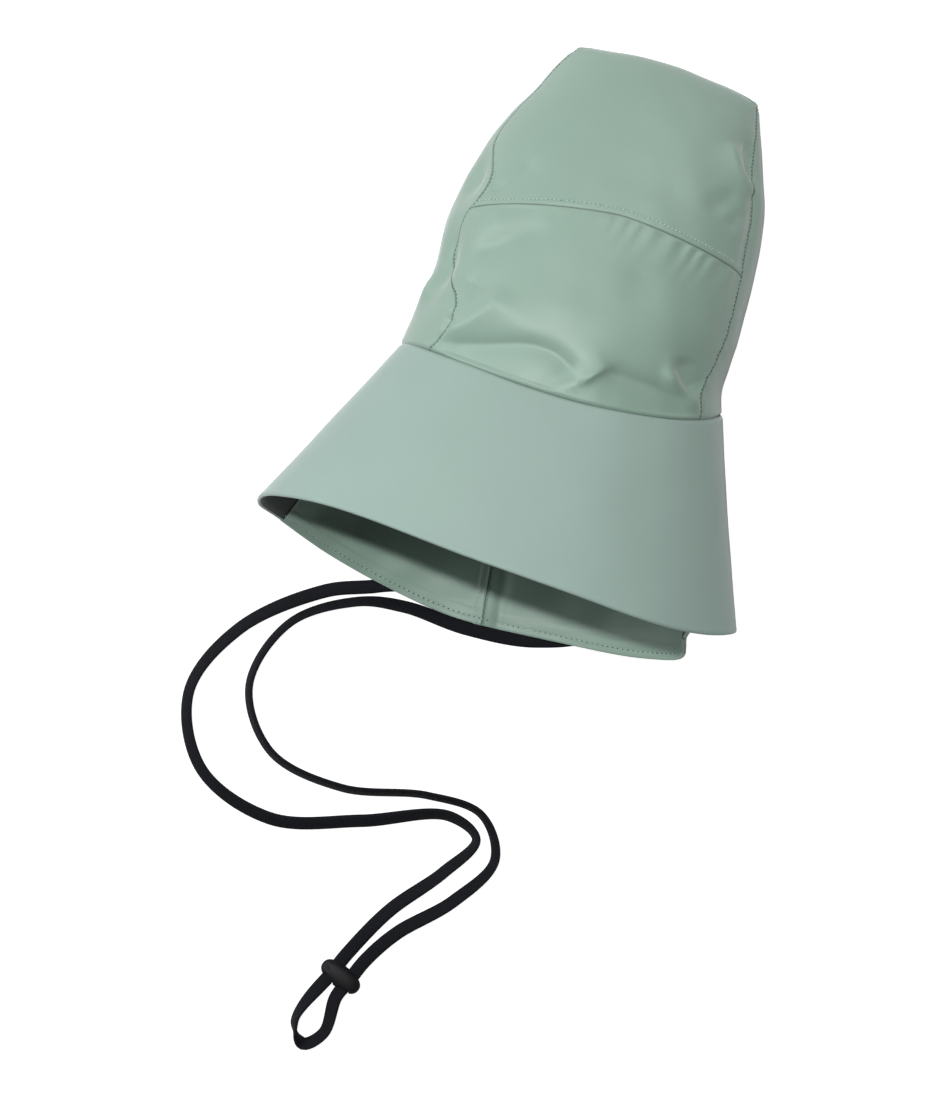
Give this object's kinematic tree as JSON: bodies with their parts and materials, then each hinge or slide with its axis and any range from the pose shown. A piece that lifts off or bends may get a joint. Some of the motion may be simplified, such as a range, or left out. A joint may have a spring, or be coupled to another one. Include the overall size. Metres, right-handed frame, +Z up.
{
  "type": "rain hat with chin cord",
  "caption": "Rain hat with a long stiff bill, a soft neck cape and a flat chin cord with a rubber lock, lying on its back.",
  "frame": {"origin": "middle of the hat's own ground plan, on the surface that it lies on; the cord isn't counted", "axes": "+X across the hat, +Y from the rim of the brim to the top of the crown, +Z up, away from the surface"},
  "size_m": [0.2905, 0.6002, 0.1905],
  "materials": {
    "shell_cloth": "matte coated plain weave",
    "bill_cloth": "matte coated plain weave over a stiff core",
    "cord_braid": "flat braid",
    "lock_rubber": "matte moulded"
  },
  "bodies": {
    "root": {"crown_front_panel": "shell_cloth", "crown_top_panel": "shell_cloth", "crown_left_panel": "shell_cloth", "crown_right_panel": "shell_cloth", "brim_front": "bill_cloth", "brim_back_left": "shell_cloth", "brim_back_right": "shell_cloth", "chin_cord": "cord_braid", "cord_lock": "lock_rubber"}
  },
  "joints": []
}
